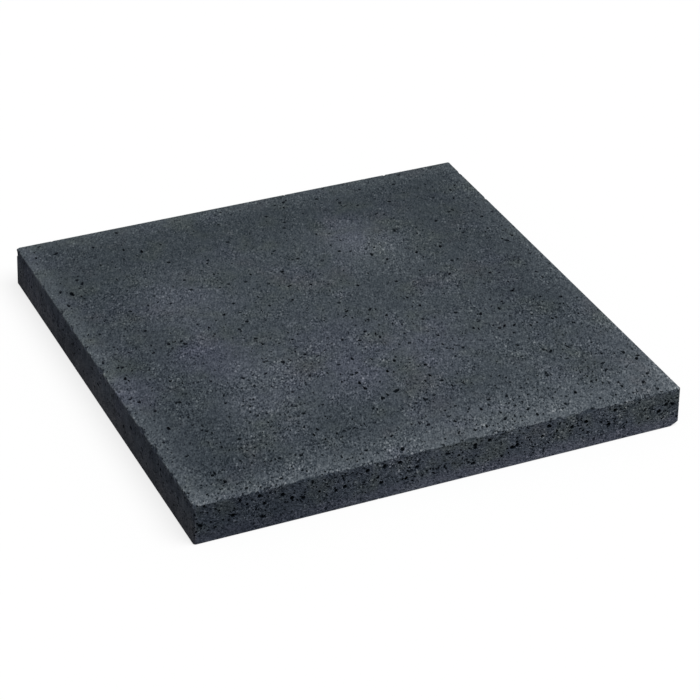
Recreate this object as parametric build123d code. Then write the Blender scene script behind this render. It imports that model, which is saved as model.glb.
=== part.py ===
from build123d import *
import os
from math import atan, cos, degrees, pi, sqrt

# A square paving slab, cast from concrete in one piece and worn by handling: its near arrises are rubbed
# round and bitten, three of its corners are knocked, and air voids stand open in its face and sides.
# Millimetres, +Z up, origin at the centre of the underside. The front is -Y and the left is -X.

# Slab
SIDE = 600.0  # each side of the underside
THICKNESS = 50.0
DRAFT_SETBACK = 1.2  # how far each side leans in from the underside to the face
CORNER_RADIUS = 3.5  # upright corners, in plan at the underside
FACE_ARRIS_RADIUS = 1.6  # rubbed edge round the face
BASE_ARRIS_RADIUS = 1.2  # rubbed edge round the underside

# Bites out of the arrises of the face
SMALL_BITE_LENGTH = 8.0
SMALL_BITE_DEPTH = 1.3
LARGE_BITE_LENGTH = 18.0
LARGE_BITE_DEPTH = 2.2

# Places of the bites along each arris, as shares of its length: from left to right at the front, and from
# front to back at the left and the right
FRONT_SMALL_BITE_SHARES = (
    0.05, 0.13, 0.205, 0.24, 0.265, 0.415, 0.61, 0.65, 0.735, 0.765, 0.87, 0.905, 0.945,
)
FRONT_LARGE_BITE_SHARES = (0.222, 0.55, 0.80)
LEFT_SMALL_BITE_SHARES = (0.045, 0.09, 0.11, 0.165, 0.33, 0.38, 0.575, 0.655, 0.83)
LEFT_LARGE_BITE_SHARES = (0.20, 0.265, 0.49)
RIGHT_SMALL_BITE_SHARES = (0.82, 0.945)

# Left corner: a chip out of its upright edge, a little below the face
LEFT_CHIP_LENGTH = 9.0
LEFT_CHIP_DEPTH = 3.0
LEFT_CHIP_DROP = 7.0  # from the face to the middle of the chip

# Knocked corners: how far each break reaches along the two sides that meet there, and up or down the corner
FRONT_BREAK_REACH = 8.0  # front corner, rubbed down at the face
FRONT_BREAK_HEIGHT = 4.0
RIGHT_BREAK_REACH = 12.0  # right corner, broken at the underside
RIGHT_BREAK_HEIGHT = 6.5

# Air voids left open by the casting: pits with a few flat walls that close in towards a small floor
VOID_WALL_COUNT = 6
VOID_FLOOR_SHARE = 0.4  # width of the floor, of the width of the mouth
VOID_TURN = 137.5  # degrees that each pit is turned from the one before it, so that no two look alike
FACE_VOID_WIDTH = 5.5
FACE_VOID_DEPTH = 3.0
FRONT_VOID_WIDTH = 6.5
FRONT_VOID_DEPTH = 3.2

# Lesser voids, strewn evenly over the face and over the upper part of each side
LESSER_VOID_WIDTH = 4.4
LESSER_VOID_DEPTH = 2.2
LESSER_VOID_SIZE_SHARES = (0.75, 1.0, 1.3)  # of that width and depth
FACE_VOID_SPACING = 56.0
SIDE_VOID_SPACING = 32.0  # along each side
VOID_MARGIN = 9.0  # kept clear along the arrises of the face
SIDE_VOID_FOOT_SHARE = 0.35  # of the thickness, below which the sides are closed
FACE_STREW_SHARES = (0.75488, 0.56984)  # steps from place to place that strew them evenly, across and back
SIDE_STREW_SHARES = (0.61803, 0.75488)  # across and up

# Places of the largest voids in the face, as shares of the side from the left and from the front
FACE_VOID_SHARES = (
    (0.66, 0.955), (0.53, 0.925), (0.545, 0.865), (0.80, 0.885), (0.895, 0.865), (0.955, 0.75),
    (0.52, 0.735), (0.385, 0.69), (0.35, 0.695), (0.425, 0.665), (0.855, 0.77), (0.33, 0.62),
    (0.32, 0.48), (0.505, 0.395), (0.655, 0.42), (0.43, 0.33), (0.78, 0.33), (0.45, 0.29),
    (0.95, 0.39), (0.11, 0.215), (0.24, 0.075), (0.03, 0.355), (0.065, 0.945), (0.13, 0.59),
)
# Places of the largest in the front, as shares of the side from the left and of the thickness from below
FRONT_VOID_SHARES = (
    (0.075, 0.52), (0.127, 0.85), (0.172, 0.74), (0.19, 0.60), (0.212, 0.53), (0.295, 0.55),
    (0.34, 0.82), (0.368, 0.42), (0.405, 0.83), (0.44, 0.60), (0.56, 0.80), (0.59, 0.84),
    (0.638, 0.50), (0.649, 0.53), (0.715, 0.83), (0.765, 0.65), (0.795, 0.70), (0.845, 0.48),
    (0.857, 0.82), (0.955, 0.50), (0.970, 0.63), (0.985, 0.60),
)

# Values that follow from the sizes above
DRAFT_ANGLE = degrees(atan(DRAFT_SETBACK / THICKNESS))
HALF_BASE = SIDE / 2
HALF_FACE = HALF_BASE - DRAFT_SETBACK
DIAGONAL_SHARE = 1 / sqrt(2)  # each part of a step at 45 degrees
ARRIS_LOSS = (sqrt(2) - 1) * FACE_ARRIS_RADIUS  # what the rounding took off the sharp arris, at 45 degrees


def slab_blank():
    """The slab as it leaves the mould, with its arrises rubbed round."""
    outline = RectangleRounded(SIDE, SIDE, CORNER_RADIUS)
    body = extrude(outline, amount=THICKNESS, taper=DRAFT_ANGLE)
    body = fillet(body.faces().sort_by(Axis.Z)[-1].edges(), FACE_ARRIS_RADIUS)
    return fillet(body.faces().sort_by(Axis.Z)[0].edges(), BASE_ARRIS_RADIUS)


def scoop_radius(span, depth):
    """Radius of the ball that leaves a scoop of this span and depth in a flat surface."""
    return (span**2 / 4 + depth**2) / (2 * depth)


def arris_bites(outward, along, shares, length, depth):
    """Balls that bite the face's arris on the side that faces outward, at shares of the way along it."""
    radius = scoop_radius(length, depth)
    stand_off = (radius - depth - ARRIS_LOSS) * DIAGONAL_SHARE
    arris = Vector(0, 0, THICKNESS) + outward * HALF_FACE
    lift = (outward + Vector(0, 0, 1)) * stand_off
    return [Pos(*(arris + lift + along * (share * 2 - 1) * HALF_FACE)) * Sphere(radius) for share in shares]


def all_arris_bites():
    """The bites of the front, left and right arrises, small and large."""
    left_to_right = Vector(1, 0, 0)
    front_to_back = Vector(0, 1, 0)
    arrises = (
        (Vector(0, -1, 0), left_to_right, FRONT_SMALL_BITE_SHARES, FRONT_LARGE_BITE_SHARES),
        (Vector(-1, 0, 0), front_to_back, LEFT_SMALL_BITE_SHARES, LEFT_LARGE_BITE_SHARES),
        (Vector(1, 0, 0), front_to_back, RIGHT_SMALL_BITE_SHARES, ()),
    )
    bites = []
    for outward, along, small_shares, large_shares in arrises:
        bites += arris_bites(outward, along, small_shares, SMALL_BITE_LENGTH, SMALL_BITE_DEPTH)
        bites += arris_bites(outward, along, large_shares, LARGE_BITE_LENGTH, LARGE_BITE_DEPTH)
    return bites


def left_corner_chip():
    """The ball that chips the left corner."""
    radius = scoop_radius(LEFT_CHIP_LENGTH, LEFT_CHIP_DEPTH)
    outward = Vector(-1, 1, 0).normalized()
    upright_edge = sqrt(2) * HALF_FACE - (sqrt(2) - 1) * CORNER_RADIUS
    middle = outward * (upright_edge + radius - LEFT_CHIP_DEPTH) + Vector(0, 0, THICKNESS - LEFT_CHIP_DROP)
    return Pos(*middle) * Sphere(radius)


def knock_corner(body, corner, reach, height):
    """The body with one corner broken off, along the plane that cuts its three edges at these distances."""
    inward_x = Vector(-reach if corner.X > 0 else reach, 0, 0)
    inward_y = Vector(0, -reach if corner.Y > 0 else reach, 0)
    inward_z = Vector(0, 0, -height if corner.Z > 0 else height)
    normal = (inward_y - inward_x).cross(inward_z - inward_x)
    if normal.dot(inward_x) > 0:
        normal = -normal
    return split(body, bisect_by=Plane(corner + inward_x, z_dir=normal), keep=Keep.BOTTOM)


def void_pits(seats, width, depth):
    """Pits of this width and depth, one at each seat: a plane on the surface that looks outwards."""
    mouth = RegularPolygon(width / 2, VOID_WALL_COUNT)
    narrowing = (1 - VOID_FLOOR_SHARE) * cos(pi / VOID_WALL_COUNT) * width / 2
    pit = extrude(mouth, amount=-depth, taper=degrees(atan(narrowing / depth)))
    return [seat * Rot(0, 0, order * VOID_TURN) * pit for order, seat in enumerate(seats)]


def face_seat(across, back):
    """The seat of a void in the face."""
    return Plane(((across * 2 - 1) * HALF_FACE, (back * 2 - 1) * HALF_FACE, THICKNESS), z_dir=(0, 0, 1))


def front_seat(across, up):
    """The seat of a void in the front, square to its leaning surface."""
    return Plane(
        ((across * 2 - 1) * HALF_FACE, up * DRAFT_SETBACK - HALF_BASE, up * THICKNESS),
        x_dir=(1, 0, 0),
        z_dir=(0, -THICKNESS, DRAFT_SETBACK),
    )


def largest_voids():
    """The pits that stand out, in the face and in the front."""
    face_seats = [face_seat(across, back) for across, back in FACE_VOID_SHARES]
    front_seats = [front_seat(across, up) for across, up in FRONT_VOID_SHARES]
    face_pits = void_pits(face_seats, FACE_VOID_WIDTH, FACE_VOID_DEPTH)
    return face_pits + void_pits(front_seats, FRONT_VOID_WIDTH, FRONT_VOID_DEPTH)


def strewn_shares(orders, steps, *limits):
    """Places strewn evenly, as pairs of shares, each within the lower and upper limit given for it."""
    pairs = []
    for order in orders:
        strewn = [(order + 1) * step % 1 for step in steps]
        pairs.append([low + (high - low) * share for share, (low, high) in zip(strewn, limits)])
    return pairs


def lesser_pits(seats):
    """Pits of the three lesser sizes in turn, one at each seat."""
    pits = []
    for order, share in enumerate(LESSER_VOID_SIZE_SHARES):
        sized_seats = seats[order :: len(LESSER_VOID_SIZE_SHARES)]
        pits += void_pits(sized_seats, LESSER_VOID_WIDTH * share, LESSER_VOID_DEPTH * share)
    return pits


def lesser_voids():
    """Small pits strewn over the face and the four sides, each side being a front turned into place."""
    margin_share = VOID_MARGIN / (2 * HALF_FACE)
    inside = (margin_share, 1 - margin_share)
    above_foot = (SIDE_VOID_FOOT_SHARE, 1 - VOID_MARGIN / THICKNESS)
    face_count = round((SIDE / FACE_VOID_SPACING) ** 2)
    side_count = round(SIDE / SIDE_VOID_SPACING)
    face_pairs = strewn_shares(range(face_count), FACE_STREW_SHARES, inside, inside)
    pits = lesser_pits([face_seat(*pair) for pair in face_pairs])
    for turn in range(4):
        side_orders = range(turn * side_count, (turn + 1) * side_count)
        side_pairs = strewn_shares(side_orders, SIDE_STREW_SHARES, inside, above_foot)
        front_pits = lesser_pits([front_seat(*pair) for pair in side_pairs])
        pits += [Rot(0, 0, 90 * turn) * pit for pit in front_pits]
    return pits


def paving_slab():
    """The slab with its bites, broken corners and voids."""
    front_corner = Vector(-HALF_FACE, -HALF_FACE, THICKNESS)
    right_corner = Vector(HALF_BASE, -HALF_BASE, 0)
    body = slab_blank()
    body = knock_corner(body, front_corner, FRONT_BREAK_REACH, FRONT_BREAK_HEIGHT)
    body = knock_corner(body, right_corner, RIGHT_BREAK_REACH, RIGHT_BREAK_HEIGHT)
    return body - all_arris_bites() - left_corner_chip() - largest_voids() - lesser_voids()


os.makedirs("parts", exist_ok=True)
export_step(paving_slab(), "parts/paving_slab.step")
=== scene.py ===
from math import cos, radians, sin, tau

import bmesh
import bpy
import numpy as np
from mathutils import Matrix, Vector


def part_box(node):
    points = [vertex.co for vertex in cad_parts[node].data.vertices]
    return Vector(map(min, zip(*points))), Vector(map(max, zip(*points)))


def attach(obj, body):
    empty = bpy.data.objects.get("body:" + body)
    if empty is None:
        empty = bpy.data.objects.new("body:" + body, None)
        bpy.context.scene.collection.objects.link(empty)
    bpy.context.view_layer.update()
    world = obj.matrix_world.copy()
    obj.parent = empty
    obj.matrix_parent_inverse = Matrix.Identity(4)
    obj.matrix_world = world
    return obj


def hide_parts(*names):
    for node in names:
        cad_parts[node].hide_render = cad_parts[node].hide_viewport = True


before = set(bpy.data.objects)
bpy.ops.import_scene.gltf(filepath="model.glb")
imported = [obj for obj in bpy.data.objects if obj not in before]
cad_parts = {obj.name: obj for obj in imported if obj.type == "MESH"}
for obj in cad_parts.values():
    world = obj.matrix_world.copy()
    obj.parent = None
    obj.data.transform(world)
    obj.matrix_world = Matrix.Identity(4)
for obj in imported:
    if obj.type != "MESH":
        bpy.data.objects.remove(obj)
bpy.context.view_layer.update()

# A square slab of charcoal concrete that lies on a white studio floor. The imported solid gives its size, its
# bitten arrises and its largest voids. Here its skin is opened by the fine pores of the casting, and it gets
# its colour. Metres, +Z up. The front is -Y and the left is -X.

LOW, HIGH = (Vector(corner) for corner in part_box("paving_slab"))
HALF_BASE = HIGH.x  # from the middle to each side, at the underside
TOP = HIGH.z  # height of the walking face
DRAFT_SETBACK = 0.0012  # how far each side leans in from the underside to the face
HALF_FACE = HALF_BASE - DRAFT_SETBACK

# Camera, from the slab's corners in the photograph
VIEW_HEADING = radians(25.185)  # from +Y towards +X
VIEW_FALL = radians(32.011)  # below the horizon
VIEW_ROLL = radians(-1.293)
VIEW_STAND = Vector((-1.0889, -2.3589, 1.5755))  # from the middle of the walking face
LENS = 131.25  # millimetres
SENSOR = 36.0  # width, in millimetres

# Light
WHITE = (1.0, 1.0, 1.0, 1.0)
SUN_STRENGTH = 2.77
SUN_SOFTNESS = radians(50)
SUN_FROM = Vector((0.30, -0.34, 1.0))
SKY_STRENGTH = 0.21
FLOOR_HALF = 8.0
FLOOR_BOUNCE_GREY = 0.40
FLOOR_GLOW = 0.78  # share of the floor's white that is seen whatever the light


class Wire:
    """An output of a node tree. Sums, products and comparisons of wires add Math nodes to the tree."""

    def __init__(self, graph, socket):
        self.graph = graph
        self.socket = socket

    def out(self, name):
        """Another output of the same node."""
        return Wire(self.graph, self.socket.node.outputs[name])

    def math(self, operation, *others):
        return self.graph.node("ShaderNodeMath", {"operation": operation}, dict(enumerate((self, *others))))

    def flipped(self, operation, other):
        return self.graph.node("ShaderNodeMath", {"operation": operation}, {0: other, 1: self})

    def __add__(self, other):
        return self.math("ADD", other)

    def __radd__(self, other):
        return self.flipped("ADD", other)

    def __sub__(self, other):
        return self.math("SUBTRACT", other)

    def __rsub__(self, other):
        return self.flipped("SUBTRACT", other)

    def __mul__(self, other):
        return self.math("MULTIPLY", other)

    def __rmul__(self, other):
        return self.flipped("MULTIPLY", other)

    def __truediv__(self, other):
        return self.math("DIVIDE", other)

    def __rtruediv__(self, other):
        return self.flipped("DIVIDE", other)

    def __pow__(self, other):
        return self.math("POWER", other)

    def __abs__(self):
        return self.math("ABSOLUTE")

    def __gt__(self, other):
        return self.math("GREATER_THAN", other)

    def __lt__(self, other):
        return self.math("LESS_THAN", other)

    def least(self, *others):
        found = self
        for other in others:
            found = found.math("MINIMUM", other)
        return found

    def most(self, *others):
        found = self
        for other in others:
            found = found.math("MAXIMUM", other)
        return found

    def rise(self, start, end):
        """0 up to start, 1 from end on, a smooth step between them. It falls where end is below start."""
        return self.graph.node(
            "ShaderNodeMapRange",
            {"interpolation_type": "SMOOTHSTEP"},
            {"Value": self, "From Min": start, "From Max": end},
        )


class Graph:
    """A node tree that grows by one method."""

    def __init__(self, tree):
        self.tree = tree

    def node(self, kind, settings=None, sockets=None, output=0):
        """Adds a node with its settings, feeds its sockets by identifier or number, and gives an output."""
        made = self.tree.nodes.new(kind)
        for name, value in (settings or {}).items():
            setattr(made, name, value)
        for key, value in (sockets or {}).items():
            fed = made.inputs[key] if isinstance(key, int) else self.named(made.inputs, key)
            for one in value if isinstance(value, list) else [value]:
                if isinstance(one, Wire):
                    self.tree.links.new(one.socket, fed)
                else:
                    fed.default_value = one
        return Wire(self, made.outputs[output]) if made.outputs else None

    @staticmethod
    def named(sockets, identifier):
        return next(socket for socket in sockets if socket.identifier == identifier)

    def axes(self, vector):
        """The three parts of a vector."""
        split = self.node("ShaderNodeSeparateXYZ", None, {"Vector": vector})
        return split, split.out("Y"), split.out("Z")

    def noise(self, at, size, detail=2.0):
        """Noise round zero, seldom past a half, with grains of this size."""
        found = self.node("ShaderNodeTexNoise", None, {"Vector": at, "Scale": 1 / size, "Detail": detail})
        return found * 2.0 - 1.0

    def blend(self, first, second, share):
        """The first colour with this share of the second."""
        return self.node(
            "ShaderNodeMix",
            {"data_type": "RGBA"},
            {"Factor_Float": share, "A_Color": first, "B_Color": second},
            output=2,
        )


def between(first, last, share):
    """The value at this share of the way from the first to the last."""
    return first + (last - first) * share


def gaining(weights, share):
    """The first of two weights, and this share of the second on top."""
    least, gain = weights
    return least + gain * share


def blank_material(name):
    """A new material and its empty graph."""
    material = bpy.data.materials.new(name)
    material.use_nodes = True
    material.node_tree.nodes.clear()
    return material, Graph(material.node_tree)


def backdrop_seen(graph):
    """1 where a ray shows the backdrop, straight or in a shiny or clear surface, and 0 where it lights."""
    path = graph.node("ShaderNodeLightPath", None, None, "Is Camera Ray")
    return path.most(path.out("Is Glossy Ray"), path.out("Is Transmission Ray"))


def add_object(name, data):
    """A new object in the scene."""
    made = bpy.data.objects.new(name, data)
    bpy.context.scene.collection.objects.link(made)
    return made


# Pores by kind: the area they open in, the blank that cuts them, the widths of the narrowest and the widest,
# and how many would stand on a square metre if all were open
PORE_KINDS = {
    "Face pinholes": ("face", "pinhole", 0.0016, 0.0034, 13000.0),
    "Face pores": ("face", "pore", 0.0023, 0.0049, 5600.0),
    "Face blow holes": ("face", "pore", 0.0036, 0.0066, 360.0),
    "Side pinholes": ("side", "pinhole", 0.0014, 0.0028, 28000.0),
    "Side pores": ("side", "pore", 0.0016, 0.0036, 53000.0),
    "Side blow holes": ("side", "pore", 0.0036, 0.0060, 1200.0),
    "Underside pinholes": ("underside", "pinhole", 0.0016, 0.0030, 2000.0),
}
# Crumbs broken out of the arrises of the face and of the underside: the widths of the narrowest and the
# widest, their spacing, and the first of their random draws
CRUMB_KINDS = {
    "Crumb": (0.0014, 0.0048, 0.0062, 500),
    "Base crumb": (0.0008, 0.0028, 0.014, 600),
}
PORE_SEED = 7
KIND_DRAWS = 10  # random draws kept for each kind of pore
FACING = 0.5  # how far up or down a facet of the face or the underside looks, at the least

# Blanks, in widths of the pore that they cut
BLANK_WIDTH = 1.0
BLANK_SHAPES = 5  # how many shapes each blank has
BALL_DIVISIONS = 1
PINHOLE_CORNERS = 5
PINHOLE_MOUTH_RADIUS = 0.62
PINHOLE_HEIGHT = 1.0
PINHOLE_SINK = 0.8  # how much of its height lies below the surface
PORE_DEPTH_SHARE = 1.35  # height of the blank, of its width
PORE_LIFT_SHARE = 0.04  # how far the blank's middle stands above the surface
PORE_LUMP_SHARE = 0.75  # how far noise pushes its wall
PORE_LUMP_SIZE = 0.45  # of that noise
PORE_LUMP_DETAIL = 1.0
NOISE_MIDDLE = (0.5, 0.5, 0.5)
PORE_SKEW = 2.0  # above 1, most are near the narrowest
PORE_STRETCH = (1.0, 1.7)  # its length, of its width, at the least and at the most
PORE_TILT = radians(24)
STRIKE_HEADING = radians(25)  # the way the face was struck off, from straight back to the right
FACE_PORE_STRETCH = (1.15, 2.1)  # the same where this has drawn the pores out
FACE_PORE_SWING = radians(40)  # either way from the strike

# Crowds that the pores stand in
CROWD_SIZE = 0.05
SIDE_CROWD_SIZE = 0.022
CROWD_DETAIL = 1.5
CROWD_RISE = (-0.3, 0.4)  # of their noise, from where there is none to the thick of one
FACE_CROWD = (0.10, 0.42)  # share of the pores open everywhere, and how much more in the thick of a crowd
FACE_OPENNESS = 0.86  # at the middle of the face
FACE_THINNING = 0.54  # how much less open its back is, and how much more its front
RIM_CROWD = (0.14, 0.22)  # added to the face along its front and left arrises
RIM_CROWD_REACH = 0.11  # from the front arris
LEFT_RIM_NARROWNESS = 2  # how many times less it reaches from the left one
SIDE_CROWD = (0.2, 0.8)
SIDE_OPENNESS = 0.5
FRONT_OPENNESS = 0.5  # added on the front
LEFT_OPENNESS = 0.1  # added on the left
SIDE_DEPTH = 0.01  # how far in from the edge of the face a place still counts as on that side
CLOSED_FOOT = (0.12, 0.42)  # shares of the height where a side starts to open, and is fully open
CRUMB_CROWD = (0.3, 0.7)
CRUMB_SLIP = 0.5  # either way, of their spacing
FAR_ARRIS_WEAR = 0.08
NEAR_ARRIS_WEAR = 0.92  # added on the front and the left
LEFT_ARRIS_EASE = 0.45  # taken off again on the left

MERGE_REACH = 1e-6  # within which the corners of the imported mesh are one
LOOSE_CHIP_CORNERS = 1000  # a shell with fewer has been cut loose, and is taken away

# The map that the skin is laid out in
MAP_FACE = 0.70  # how much of its width the walking face takes
MAP_GAP = 0.006  # between areas


def pore_sizes():
    """What the tree of the pores is given, by the names of its inputs."""
    sizes = {
        "Face height": TOP,
        "Face half": HALF_FACE,
        "Base half": HALF_BASE,
        "Crowd size": CROWD_SIZE,
        "Side crowd size": SIDE_CROWD_SIZE,
        "Rim crowd reach": RIM_CROWD_REACH,
        "Side depth": SIDE_DEPTH,
    }
    for kind, (_, _, narrowest, widest, crowding) in PORE_KINDS.items():
        sizes[f"{kind} narrowest"] = narrowest
        sizes[f"{kind} widest"] = widest
        sizes[f"{kind} crowding"] = crowding
    for kind, (narrowest, widest, spacing, _) in CRUMB_KINDS.items():
        sizes[f"{kind} narrowest"] = narrowest
        sizes[f"{kind} widest"] = widest
        sizes[f"{kind} spacing"] = spacing
    return sizes


def pore_tree():
    """Tree that opens the skin: blanks stand on the slab and along its arrises, and are cut out of it."""
    tree = bpy.data.node_groups.new("open_pores", "GeometryNodeTree")
    inputs = {"Slab": "Geometry", "Concrete": "Material", "Seed": "Int"}
    for size in pore_sizes():
        inputs[size] = "Float"
    for name, form in inputs.items():
        tree.interface.new_socket(name, in_out="INPUT", socket_type=f"NodeSocket{form}")
    tree.interface.new_socket("Slab", in_out="OUTPUT", socket_type="NodeSocketGeometry")
    graph = Graph(tree)
    given = graph.node("NodeGroupInput")
    face_half = given.out("Face half")
    position = graph.node("GeometryNodeInputPosition")
    x, y, z = graph.axes(position)
    upward = graph.axes(graph.node("GeometryNodeInputNormal"))[2]
    areas = {"face": upward > FACING, "side": abs(upward) < FACING, "underside": upward < -FACING}

    def chance(low, high, salt):
        return graph.node(
            "FunctionNodeRandomValue",
            {"data_type": "FLOAT"},
            {"Min_001": low, "Max_001": high, "Seed": given.out("Seed") + salt},
            output=1,
        )

    def chance_turn(low, high, salt):
        euler = graph.node(
            "FunctionNodeRandomValue",
            {"data_type": "FLOAT_VECTOR"},
            {"Min": low, "Max": high, "Seed": given.out("Seed") + salt},
        )
        return graph.node("FunctionNodeEulerToRotation", None, {"Euler": euler})

    def lumpy(blank, salt):
        """Shapes one unit wide, each lumpy in its own way."""
        shapes = []
        for shape in range(BLANK_SHAPES):
            lump = graph.node(
                "ShaderNodeTexNoise",
                {"noise_dimensions": "4D"},
                {"Vector": position, "W": float(salt + shape), "Scale": 1 / PORE_LUMP_SIZE,
                 "Detail": PORE_LUMP_DETAIL},
                output="Color",
            )
            push = graph.node("ShaderNodeVectorMath", {"operation": "SUBTRACT"}, {0: lump, 1: NOISE_MIDDLE})
            push = graph.node(
                "ShaderNodeVectorMath",
                {"operation": "MULTIPLY_ADD"},
                {0: push, 1: (PORE_LUMP_SHARE,) * 3, 2: (0.0, 0.0, PORE_LIFT_SHARE)},
            )
            pushed = graph.node("GeometryNodeSetPosition", None, {"Geometry": blank, "Offset": push})
            shapes.append(graph.node("GeometryNodeGeometryToInstance", None, {"Geometry": pushed}))
        return graph.node("GeometryNodeJoinGeometry", None, {"Geometry": shapes})

    def crowd_of(size):
        return graph.noise(position, given.out(size), CROWD_DETAIL).rise(*CROWD_RISE)

    def side_openness():
        """Share of a side's pores that are open here. Its foot is closed."""
        edge = given.out("Side depth") - face_half
        front = y < edge
        left = x < edge
        height = z / given.out("Face height")
        openness = SIDE_OPENNESS + FRONT_OPENNESS * front + LEFT_OPENNESS * left
        return openness * gaining(SIDE_CROWD, crowd_of("Side crowd size")) * height.rise(*CLOSED_FOOT)

    def flat_openness():
        """The same for the face and the underside. The rim is more open at the front and the left."""
        crowd = crowd_of("Crowd size")
        reach = given.out("Rim crowd reach")
        from_front = (face_half + y) / reach
        from_left = LEFT_RIM_NARROWNESS * (face_half + x) / reach
        rim = from_front.least(from_left).rise(1.0, 0.0)
        openness = FACE_OPENNESS - FACE_THINNING * y / face_half
        return openness * gaining(FACE_CROWD, crowd) + rim * gaining(RIM_CROWD, crowd)

    def cutters(kind, points, turn, shapes, open_share, salt, stretch=PORE_STRETCH):
        """Shapes on the share of the points that is open, most of them near the narrowest."""
        kept = graph.node(
            "GeometryNodeDeleteGeometry",
            {"domain": "POINT"},
            {"Geometry": points, "Selection": chance(0.0, 1.0, salt) > open_share},
        )
        growth = chance(0.0, 1.0, salt + 1) ** PORE_SKEW
        width = between(given.out(f"{kind} narrowest"), given.out(f"{kind} widest"), growth)
        length = width * chance(*stretch, salt + 2)
        height = width * PORE_DEPTH_SHARE
        size = graph.node("ShaderNodeCombineXYZ", None, {"X": length, "Y": width, "Z": height})
        pick = graph.node(
            "FunctionNodeRandomValue",
            {"data_type": "INT"},
            {"Min_002": 0, "Max_002": BLANK_SHAPES - 1, "Seed": given.out("Seed") + (salt + 3)},
            output=2,
        )
        return graph.node(
            "GeometryNodeInstanceOnPoints",
            None,
            {"Points": kept, "Instance": shapes, "Pick Instance": True, "Instance Index": pick,
             "Rotation": turn, "Scale": size},
        )

    cone = graph.node(
        "GeometryNodeMeshCone",
        None,
        {"Vertices": PINHOLE_CORNERS, "Radius Top": PINHOLE_MOUTH_RADIUS, "Radius Bottom": 0.0,
         "Depth": PINHOLE_HEIGHT},
    )
    sunk = (0.0, 0.0, -PINHOLE_SINK)
    cone = graph.node("GeometryNodeTransform", None, {"Geometry": cone, "Translation": sunk})
    ball = graph.node(
        "GeometryNodeMeshIcoSphere",
        None,
        {"Radius": BLANK_WIDTH / 2, "Subdivisions": BALL_DIVISIONS},
    )
    blanks = {"pinhole": lumpy(cone, 0), "pore": lumpy(ball, BLANK_SHAPES)}
    all_cutters = []
    for order, (kind, (area, blank, *_)) in enumerate(PORE_KINDS.items()):
        salt = order * KIND_DRAWS
        spread = graph.node(
            "GeometryNodeDistributePointsOnFaces",
            None,
            {"Mesh": given, "Selection": areas[area], "Density": given.out(f"{kind} crowding"),
             "Seed": given.out("Seed") + salt},
        )
        struck = area == "face"
        strike = tau / 4 - STRIKE_HEADING
        swing = (strike - FACE_PORE_SWING, strike + FACE_PORE_SWING) if struck else (0.0, tau)
        turn = chance_turn((-PORE_TILT, -PORE_TILT, swing[0]), (PORE_TILT, PORE_TILT, swing[1]), salt + 1)
        if not struck:
            turn = graph.node(
                "FunctionNodeRotateRotation",
                {"rotation_space": "LOCAL"},
                {"Rotation": spread.out("Rotation"), "Rotate By": turn},
            )
        stretch = FACE_PORE_STRETCH if struck else PORE_STRETCH
        open_share = side_openness() if area == "side" else flat_openness()
        all_cutters.append(cutters(kind, spread, turn, blanks[blank], open_share, salt + 2, stretch))

    arrises = {
        "Crumb": (face_half, given.out("Face height")),
        "Base crumb": (given.out("Base half"), 0.0),
    }
    for kind, (half, height) in arrises.items():
        salt = CRUMB_KINDS[kind][-1]
        spacing = given.out(f"{kind} spacing")
        square = {"Width": 2 * half, "Height": 2 * half}
        edge = graph.node("GeometryNodeCurvePrimitiveQuadrilateral", None, square)
        steps = {"Curve": edge, "Length": spacing}
        line = graph.node("GeometryNodeCurveToPoints", {"mode": "LENGTH"}, steps)
        slip_x = spacing * chance(-CRUMB_SLIP, CRUMB_SLIP, salt)
        slip_y = spacing * chance(-CRUMB_SLIP, CRUMB_SLIP, salt + 1)
        slip = graph.node("ShaderNodeCombineXYZ", None, {"X": slip_x, "Y": slip_y, "Z": height})
        line = graph.node("GeometryNodeSetPosition", None, {"Geometry": line, "Offset": slip})
        turn = chance_turn((0.0,) * 3, (tau,) * 3, salt + 2)
        worn = FAR_ARRIS_WEAR + (NEAR_ARRIS_WEAR - LEFT_ARRIS_EASE * (x < y)) * (x + y < 0.0)
        open_share = worn * gaining(CRUMB_CROWD, crowd_of("Crowd size"))
        all_cutters.append(cutters(kind, line, turn, blanks["pore"], open_share, salt + 3))

    cut = graph.node(
        "GeometryNodeMeshBoolean",
        {"operation": "DIFFERENCE", "solver": "MANIFOLD"},
        {"Mesh 1": given, "Mesh 2": all_cutters},
    )
    shell = graph.node("GeometryNodeInputMeshIsland")
    corners = graph.node("GeometryNodeAccumulateField", None, {"Value": 1.0, "Group Index": shell}, "Total")
    loose = corners < LOOSE_CHIP_CORNERS
    kept = graph.node("GeometryNodeDeleteGeometry", None, {"Geometry": cut, "Selection": loose})
    flat = graph.node("GeometryNodeSetShadeSmooth", None, {"Geometry": kept, "Shade Smooth": False})
    whole = graph.node("GeometryNodeRealizeInstances", None, {"Geometry": flat})
    dressing = {"Geometry": whole, "Material": given.out("Concrete")}
    graph.node("NodeGroupOutput", None, {0: graph.node("GeometryNodeSetMaterial", None, dressing)})
    return tree


def open_pored_slab(concrete):
    """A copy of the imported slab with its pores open."""
    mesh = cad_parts["paving_slab"].data.copy()
    shell = bmesh.new()
    shell.from_mesh(mesh)
    bmesh.ops.remove_doubles(shell, verts=shell.verts, dist=MERGE_REACH)
    shell.to_mesh(mesh)
    shell.free()
    slab = add_object("open_pored_slab", mesh)
    values = {"Concrete": concrete, "Seed": PORE_SEED, **pore_sizes()}
    cutting = slab.modifiers.new("open_pores", "NODES")
    cutting.node_group = pore_tree()
    for item in cutting.node_group.interface.items_tree:
        if item.name in values and item.in_out == "INPUT":
            cutting[item.identifier] = values[item.name]
    evaluated = slab.evaluated_get(bpy.context.evaluated_depsgraph_get())
    finished = bpy.data.meshes.new_from_object(evaluated)
    slab.modifiers.remove(cutting)
    slab.data = finished
    lay_out_bake_map(finished)
    return slab


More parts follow.
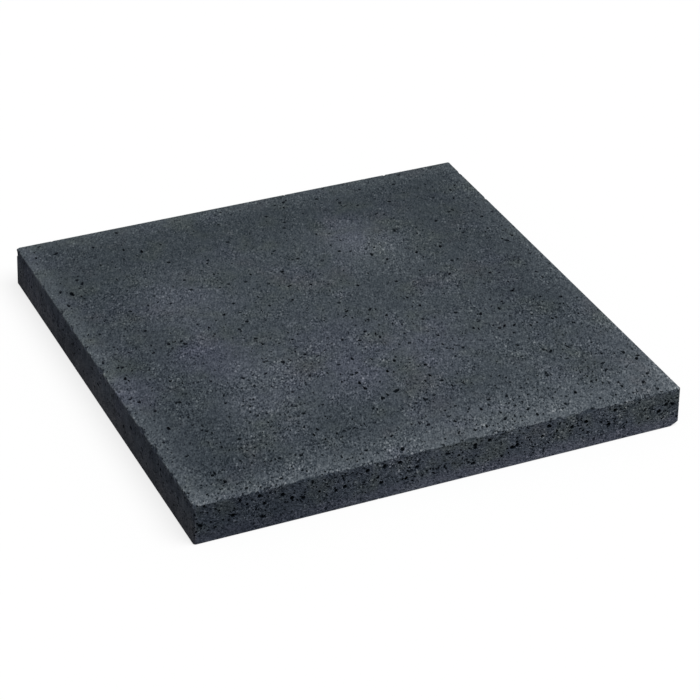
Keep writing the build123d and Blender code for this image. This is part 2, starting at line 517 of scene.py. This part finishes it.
def lay_out_bake_map(mesh):
    """Lays the skin out flat in one map: each facet with the face, side or underside nearest to it."""
    points = np.empty(len(mesh.vertices) * 3)
    mesh.vertices.foreach_get("co", points)
    corners = np.empty(len(mesh.loops), int)
    mesh.loops.foreach_get("vertex_index", corners)
    counts = np.empty(len(mesh.polygons), int)
    mesh.polygons.foreach_get("loop_total", counts)
    x, y, z = points.reshape(-1, 3)[corners].T
    starts = np.cumsum(counts) - counts
    middle_x, middle_y, middle_z = (np.add.reduceat(part, starts) / counts for part in (x, y, z))
    half = HALF_BASE - DRAFT_SETBACK * middle_z / TOP
    depths = (TOP - middle_z, half + middle_y, half - middle_x, half - middle_y, half + middle_x, middle_z)
    nearest = np.repeat(np.argmin(depths, axis=0), counts)
    on_base = nearest == len(depths) - 1
    on_side = (nearest > 0) & ~on_base
    scale = MAP_FACE / (2 * HALF_BASE)
    base_scale = (1.0 - MAP_FACE - 3 * MAP_GAP) / (2 * HALF_BASE)
    scales = np.where(on_base, base_scale, scale)
    middle_u = MAP_GAP + MAP_FACE / 2
    base_u = 1.0 - MAP_GAP - base_scale * HALF_BASE
    strip = TOP * scale + MAP_GAP
    side_v = MAP_FACE + 2 * MAP_GAP + (nearest - 1) * strip
    flat_v = MAP_GAP + HALF_BASE * scales
    across = np.choose(nearest, (x, x, y, -x, -y, x))
    upward = np.choose(nearest, (y, z, z, z, z, -y))
    places = np.empty((len(corners), 2))
    places[:, 0] = np.where(on_base, base_u, middle_u) + across * scales
    places[:, 1] = np.where(on_side, side_v, flat_v) + upward * scales
    mesh.uv_layers.new(name="OFBake", do_init=False).uv.foreach_set("vector", places.ravel())


# Hues of the concrete
GREY = (0.0493, 0.0607, 0.0730, 1.0)
BLUE = (0.0478, 0.0587, 0.0762, 1.0)
VIOLET = (0.0512, 0.0582, 0.0815, 1.0)
OLIVE = (0.0505, 0.0620, 0.0672, 1.0)
WARM = (0.0570, 0.0590, 0.0668, 1.0)
HUE_POWERS = (1.08, 1.0, 0.92)  # of the tone, in red, green and blue: light is greyer, and dark is bluer
DARKEST = 0.06

# Where each hue lies: the size and detail of its clouds, where they start and are full, and its shares
VIOLET_CLOUDS = (0.07, 3.0)
VIOLET_RISE = (0.05, 0.5)
VIOLET_SHARE = 0.35
FOOT_VIOLET_SHARE = 0.7
LEFT_VIOLET_SHARE = 0.45
WARM_CLOUDS = (0.06, 3.0)
WARM_RISE = (0.1, 0.5)
WARM_SHARE = 0.3
LEFT_FOOT_WARM_SHARE = 0.6
OLIVE_CLOUDS = (0.05, 3.0)
OLIVE_RISE = (-0.1, 0.5)
BACK_OLIVE_SHARE = 0.3
MOTTLE_SIZE = 0.032  # of the blue and olive clouds of the sides
MOTTLE_BLUE_RISE = (0.15, -0.15)
MOTTLE_OLIVE_RISE = (0.0, 0.3)
MOTTLE_OLIVE_SHARE = 0.55

# Areas of the skin, by the depth at which each ends and is whole
FACE_SKIN = (0.0016, 0.0006)
SIDE_SKIN = (0.005, 0.001)

# Clouds of tone
WANDER = (0.05, 4.0)  # size and detail of the noise that also frays patches, rims and bands
WANDER_WEIGHT = 0.16
BROAD_CLOUD_SIZE = 0.12
BROAD_CLOUD_WEIGHT = 0.10
SMALL_CLOUD_SIZE = 0.016
SMALL_CLOUD_WEIGHT = 0.22
LEFT_CLOUD_GAIN = 2.2  # how much stronger they are on the left

# Patches of the walking face: the middle, across from the left and back from the front, and the reach, as
# shares of the side, then how much lighter the patch is, and how violet
FACE_PATCHES = (
    (0.66, 0.78, 0.12, 0.40, 0.50),
    (0.69, 0.70, 0.12, 0.26, 0.00),
    (0.24, 0.66, 0.15, 0.28, 0.40),
    (0.30, 0.37, 0.10, 0.30, 0.00),
    (0.25, 0.26, 0.14, 0.26, 0.30),
    (0.45, 0.27, 0.12, 0.24, 0.50),
    (0.22, 0.45, 0.13, 0.16, 0.60),
    (0.62, 0.32, 0.15, 0.20, 0.35),
    (0.45, 0.40, 0.16, 0.08, 0.45),
    (0.50, 0.45, 0.55, 0.10, 0.00),
    (0.96, 0.19, 0.22, 0.25, 0.12),
    (0.93, 0.60, 0.18, 0.06, 0.00),
    (0.04, 0.04, 0.08, 0.10, 0.00),
    (0.65, 0.05, 0.11, 0.10, 0.00),
    (0.03, 0.40, 0.10, 0.08, 0.50),
    (0.13, 0.13, 0.14, -0.06, 0.00),
    (0.36, 0.13, 0.16, -0.08, 0.00),
    (0.84, 0.22, 0.20, 0.08, 0.00),
)
PATCH_FADE = (1.0, 0.05)  # where a patch ends and is whole, in its own reaches
FRAY = 0.5  # how far the wander moves the edges of patches and rims, in their own reaches

# A darker band along the left, the back and the right of the face, by shares of the side
BAND_DARKNESS = 0.13
BAND_OUTER_EDGE = (0.03, 0.075)
BAND_INNER_EDGE = (0.21, 0.13)
BAND_FRAY = 0.04

# Pale rims of the face: how much lighter they are, and their reach. The front one changes from left to right
FRONT_RIM_LIFT = (0.62, 0.78)
FRONT_RIM_REACH = (0.016, 0.062)
FRONT_RIM_FADE = (2.2, -0.2)  # where it ends and is whole, in its own reaches
LEFT_RIM = (0.34, 0.017)
RIGHT_RIM = (0.24, 0.013)
BACK_RIM = (0.15, 0.018)
RIM_FADE = (1.6, 0.4)
# A thin pale line along the arrises of the face: partly wear, partly a painted highlight where the edge
# catches the light
ARRIS_WEAR_AND_HIGHLIGHT = 0.25
ARRIS_FADE = (0.0030, 0.0009)

# Sides: how much lighter they are. Heights are shares of the thickness, and spans are shares of the side
FRONT_LIFT = (-0.12, 0.30)  # at the left end of the front, and over its right half
FRONT_LIFT_SPAN = (0.1, 0.5)
FOOT_LIFT = 0.30  # the closed foot of the front
FOOT_LIFT_SPAN = (0.2, 0.5)
FOOT_HEIGHTS = (0.42, 0.12)
FOOT_FRAY = 0.12
LEFT_LIFT = 0.04
LEFT_FOOT_LIFT = 0.26
LEFT_FOOT_HEIGHTS = (0.85, 0.1)
LEFT_FOOT_FRAY = 0.3

# Grain. Of two weights, the first holds everywhere, and the second is added where the concrete is sandy
STRIKE_DRAW = 0.55  # of its fineness along the strike, because that draws it out
SANDY_SIZE = 0.034
SANDY_RISE = (-0.32, 0.42)
SAND_SIZE = 0.0019
SAND_WEIGHTS = (0.86, 0.92)
GRIT_SIZE = 0.005
GRIT_WEIGHT = 0.34
GRAINS = (0.0034, 0.45)  # size of a cell with one pale grain, and how much of it the widest fills
GRAIN_WEIGHTS = (0.25, 0.54)
FRONT_GRAIN_GAIN = 0.4  # how much paler they are on the front, above its foot
PAINTED_PITS = (0.0052, 0.40)  # the same for dark specks: painted shade that stands in for small holes
PAINTED_PIT_WEIGHTS = (0.10, 0.17)
PIT_RING_WEIGHT = 0.15
SPECK_EDGE = (0.06, -0.06)  # in cells
RING_OUTER_EDGE = (0.30, 0.14)
RING_INNER_EDGE = (0.04, 0.14)
FACE_ROUGHNESS = 1.34  # how strong the grain is at the front of the face
BACK_CALM = 0.44  # how much weaker it is at the back
LEFT_RIM_CALM = 0.28  # and where the face is rubbed, along its left and its front arris
LEFT_RIM_CALM_REACH = (0.050, 0.010)
FRONT_RIM_CALM = 0.12
SIDE_ROUGHNESS = 1.2
FOOT_ROUGHNESS = 0.15  # added at the closed foot
LEFT_CALM = 0.7
STREAK_SIZE = 0.003  # across the upright streaks of the sides
STREAK_DETAIL = 1.0
STREAK_DRAW = 0.1  # of their fineness upwards
STREAK_WEIGHT = 0.3
BUMP_STRENGTH = 0.8
BUMP_HEIGHT = 0.001
SHEEN_ROUGHNESS = 0.92
SHEEN_LEVEL = 0.03

# Painted shade down in the pores, the voids and the crumb breaks, darker the deeper they lie
PAINTED_PORE_SHADE = 0.66  # painted shade at a pore's floor, as a share of the tone
PAINTED_CRUMB_SHADE = 0.40  # painted shade in a crumb's break
PAINTED_SHADE_DEPTHS = (0.0001, 0.0010)  # how deep the painted shade starts, and is full
PAINTED_VOID_SHADE = 0.24  # painted shade added in a deep void
PAINTED_VOID_SHADE_DEPTHS = (0.0007, 0.0020)
ARRIS_CLEARANCE = (0.006, 0.010)  # how far from the arrises, both ways added, the pores start, and their painted shade takes over from the crumbs'


def charcoal_concrete():
    """Dark grey concrete: cloudy and sandy, pale along the arrises of its face with a painted highlight on
    the arris line, and painted shade in its pores, crumb breaks and dark specks.
    """
    material, graph = blank_material("charcoal_concrete")
    place = graph.node("ShaderNodeTexCoord", None, None, "Object")
    x, y, z = graph.axes(place)
    across = x / (2 * HALF_FACE) + 0.5
    back = y / (2 * HALF_FACE) + 0.5
    up = z / TOP
    half = HALF_BASE - up * DRAFT_SETBACK
    from_front, from_right, from_back, from_left = half + y, half - x, half - y, half + x
    inset = from_front.least(from_right, from_back, from_left)
    on_face = (TOP - z).rise(*FACE_SKIN)
    on_side = 1.0 - on_face
    on_front = from_front.rise(*SIDE_SKIN)
    on_left = from_left.rise(*SIDE_SKIN)
    front_side = on_front * on_side
    left_side = on_left * on_side
    wander = graph.noise(place, *WANDER)

    # Painted highlight, with wear, in a thin line along the arrises
    face_lift = ARRIS_WEAR_AND_HIGHLIGHT * (TOP - z + inset).rise(*ARRIS_FADE)
    violet = VIOLET_SHARE * graph.noise(place, *VIOLET_CLOUDS).rise(*VIOLET_RISE)
    for middle_across, middle_back, reach, lift, tint in FACE_PATCHES:
        aside = (across - middle_across) / reach
        beyond = (back - middle_back) / reach
        away = (aside * aside + beyond * beyond) ** 0.5
        patch = (away + FRAY * wander).rise(*PATCH_FADE) * on_face
        face_lift = face_lift + lift * patch
        violet = violet + tint * patch
    band = across.least(1.0 - across, 1.0 - back) + BAND_FRAY * wander
    face_lift = face_lift - BAND_DARKNESS * band.rise(*BAND_OUTER_EDGE) * band.rise(*BAND_INNER_EDGE)
    front_reach = between(*FRONT_RIM_REACH, across)
    front_rim = (from_front / front_reach + FRAY * wander).rise(*FRONT_RIM_FADE)
    face_lift = face_lift + front_rim * between(*FRONT_RIM_LIFT, across)
    for from_arris, (lift, reach) in ((from_left, LEFT_RIM), (from_right, RIGHT_RIM), (from_back, BACK_RIM)):
        face_lift = face_lift + lift * (from_arris / reach + FRAY * wander).rise(*RIM_FADE)

    foot = (up + FOOT_FRAY * wander).rise(*FOOT_HEIGHTS)
    left_foot = (up + LEFT_FOOT_FRAY * wander).rise(*LEFT_FOOT_HEIGHTS) * on_left
    front_lift = between(*FRONT_LIFT, across.rise(*FRONT_LIFT_SPAN))
    front_lift = front_lift + FOOT_LIFT * foot * across.rise(*FOOT_LIFT_SPAN)
    side_lift = front_lift * on_front + LEFT_FOOT_LIFT * left_foot
    violet = violet + FOOT_VIOLET_SHARE * foot * on_front + LEFT_VIOLET_SHARE * left_side
    warm = WARM_SHARE * graph.noise(place, *WARM_CLOUDS).rise(*WARM_RISE) + LEFT_FOOT_WARM_SHARE * left_foot
    cloud = BROAD_CLOUD_WEIGHT * graph.noise(place, BROAD_CLOUD_SIZE) + WANDER_WEIGHT * wander
    cloud = cloud + SMALL_CLOUD_WEIGHT * graph.noise(place, SMALL_CLOUD_SIZE)
    cloud = cloud * (1.0 + LEFT_CLOUD_GAIN * left_side) + LEFT_LIFT * left_side
    tone = 1.0 + cloud + face_lift * on_face + side_lift * on_side

    over_strike = x * cos(STRIKE_HEADING) - y * sin(STRIKE_HEADING)
    along_strike = x * sin(STRIKE_HEADING) + y * cos(STRIKE_HEADING)
    drawn = {"X": over_strike, "Y": STRIKE_DRAW * along_strike, "Z": z}
    struck = graph.node("ShaderNodeCombineXYZ", None, drawn)

    def specks(size, fill):
        """Round specks of many widths, at most one to a cell of this size, and a thin ring round each."""
        cell = graph.node("ShaderNodeTexVoronoi", None, {"Vector": struck, "Scale": 1 / size})
        beyond = cell - fill * graph.axes(cell.out("Color"))[0]
        return beyond.rise(*SPECK_EDGE), beyond.rise(*RING_INNER_EDGE) * beyond.rise(*RING_OUTER_EDGE)

    sandy = graph.noise(place, SANDY_SIZE).rise(*SANDY_RISE)
    sand = graph.noise(struck, SAND_SIZE)
    grit = graph.noise(struck, GRIT_SIZE)
    painted_pits, pit_rings = specks(*PAINTED_PITS)
    grains, _ = specks(*GRAINS)
    rubbed = LEFT_RIM_CALM * from_left.rise(*LEFT_RIM_CALM_REACH) + FRONT_RIM_CALM * front_rim
    face_rough = FACE_ROUGHNESS - BACK_CALM * back - rubbed
    side_rough = SIDE_ROUGHNESS + FOOT_ROUGHNESS * foot - LEFT_CALM * on_left
    rough = face_rough * on_face + side_rough * on_side
    tone = tone * (1.0 + rough * (gaining(SAND_WEIGHTS, sandy) * sand + GRIT_WEIGHT * grit))
    pale = gaining(GRAIN_WEIGHTS, sandy) * (1.0 + front_side * (FRONT_GRAIN_GAIN - foot)) * grains
    pale = pale + PIT_RING_WEIGHT * pit_rings
    # The dark specks are painted shade standing in for small holes, stronger on the sides
    tone = tone * (1.0 + rough * (pale - gaining(PAINTED_PIT_WEIGHTS, sandy) * (1.0 + on_side) * painted_pits))
    streak_place = graph.node("ShaderNodeCombineXYZ", None, {"X": x + y, "Z": STREAK_DRAW * z})
    streaks = graph.noise(streak_place, STREAK_SIZE, STREAK_DETAIL)
    tone = tone * (1.0 + STREAK_WEIGHT * streaks * on_side)

    # Painted shade: the tone darkens the deeper a place lies below the face, a side or the underside
    depth = (TOP - z).least(inset, z)
    clear = ((TOP - z).least(z) + inset).rise(*ARRIS_CLEARANCE)
    painted_shade = between(PAINTED_CRUMB_SHADE, PAINTED_PORE_SHADE, clear) * depth.rise(*PAINTED_SHADE_DEPTHS)
    painted_shade = painted_shade + PAINTED_VOID_SHADE * clear * depth.rise(*PAINTED_VOID_SHADE_DEPTHS)
    tone = (tone * (1.0 - painted_shade)).most(DARKEST)

    olive = graph.noise(place, *OLIVE_CLOUDS).rise(*OLIVE_RISE) + BACK_OLIVE_SHARE * back
    mottle = graph.noise(place, MOTTLE_SIZE)
    side_olive = MOTTLE_OLIVE_SHARE * mottle.rise(*MOTTLE_OLIVE_RISE) * on_side
    hue = graph.blend(GREY, OLIVE, olive * on_face * (1.0 - front_rim))
    hue = graph.blend(hue, BLUE, mottle.rise(*MOTTLE_BLUE_RISE) * front_side)
    hue = graph.blend(hue, OLIVE, side_olive * (1.0 - foot))
    hue = graph.blend(hue, VIOLET, violet)
    hue = graph.blend(hue, WARM, warm)
    red, green, blue = HUE_POWERS
    tones = graph.node("ShaderNodeCombineXYZ", None, {"X": tone**red, "Y": tone**green, "Z": tone**blue})
    colour = graph.node("ShaderNodeVectorMath", {"operation": "MULTIPLY"}, {0: hue, 1: tones})
    relief = graph.node(
        "ShaderNodeBump",
        None,
        {"Strength": BUMP_STRENGTH, "Distance": BUMP_HEIGHT, "Height": sand + grit - painted_pits},
    )
    shader = graph.node(
        "ShaderNodeBsdfPrincipled",
        None,
        {"Base Color": colour, "Roughness": SHEEN_ROUGHNESS, "Specular IOR Level": SHEEN_LEVEL,
         "Normal": relief},
    )
    graph.node("ShaderNodeOutputMaterial", None, {"Surface": shader})
    return material


def studio_floor():
    """White floor that is seen as lit, and that throws only part of its light back at the slab."""
    material, graph = blank_material("white_floor")
    seen = backdrop_seen(graph)
    colour = graph.blend((FLOOR_BOUNCE_GREY,) * 3 + (1.0,), WHITE, seen)
    paint = graph.node("ShaderNodeBsdfDiffuse", None, {"Color": colour})
    glow = graph.node("ShaderNodeEmission", None, {"Color": WHITE, "Strength": 1.0})
    surface = graph.node(
        "ShaderNodeMixShader",
        None,
        {"Fac": FLOOR_GLOW * seen, "Shader": paint, "Shader_001": glow},
    )
    graph.node("ShaderNodeOutputMaterial", None, {"Surface": surface})
    mesh = bpy.data.meshes.new("studio_floor")
    corners = [(-1, -1), (1, -1), (1, 1), (-1, 1)]
    mesh.from_pydata([(x * FLOOR_HALF, y * FLOOR_HALF, LOW.z) for x, y in corners], [], [(0, 1, 2, 3)])
    mesh.materials.append(material)
    add_object("studio_floor", mesh)


def studio_light():
    """A wide soft lamp from above, a little to the front and right, and a faint sky seen as white."""
    lamp = bpy.data.lights.new("soft_lamp", "SUN")
    lamp.energy = SUN_STRENGTH
    lamp.angle = SUN_SOFTNESS
    add_object("soft_lamp", lamp).rotation_euler = SUN_FROM.to_track_quat("Z", "Y").to_euler()
    world = bpy.data.worlds.new("white_sky")
    world.use_nodes = True
    world.node_tree.nodes.clear()
    graph = Graph(world.node_tree)
    strength = between(SKY_STRENGTH, 1.0, backdrop_seen(graph))
    sky = graph.node("ShaderNodeBackground", None, {"Color": WHITE, "Strength": strength})
    graph.node("ShaderNodeOutputWorld", None, {"Surface": sky})
    bpy.context.scene.world = world


def photograph_camera():
    """The camera at the photograph's viewing angle."""
    ahead = Vector((sin(VIEW_HEADING), cos(VIEW_HEADING), 0.0))
    level = Vector((cos(VIEW_HEADING), -sin(VIEW_HEADING), 0.0))
    forward = ahead * cos(VIEW_FALL) - Vector((0.0, 0.0, sin(VIEW_FALL)))
    right = Matrix.Rotation(VIEW_ROLL, 3, forward) @ level
    up = right.cross(forward)
    turn = Matrix((right, up, -forward)).transposed().to_4x4()
    data = bpy.data.cameras.new("photograph_camera")
    data.lens = LENS
    data.sensor_width = SENSOR
    camera = add_object("photograph_camera", data)
    camera.matrix_world = Matrix.Translation(VIEW_STAND + Vector((0.0, 0.0, TOP))) @ turn
    bpy.context.scene.camera = camera


slab = open_pored_slab(charcoal_concrete())
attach(slab, "root")
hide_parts("paving_slab")
studio_floor()
studio_light()
photograph_camera()
bpy.context.scene.view_settings.view_transform = "Standard"
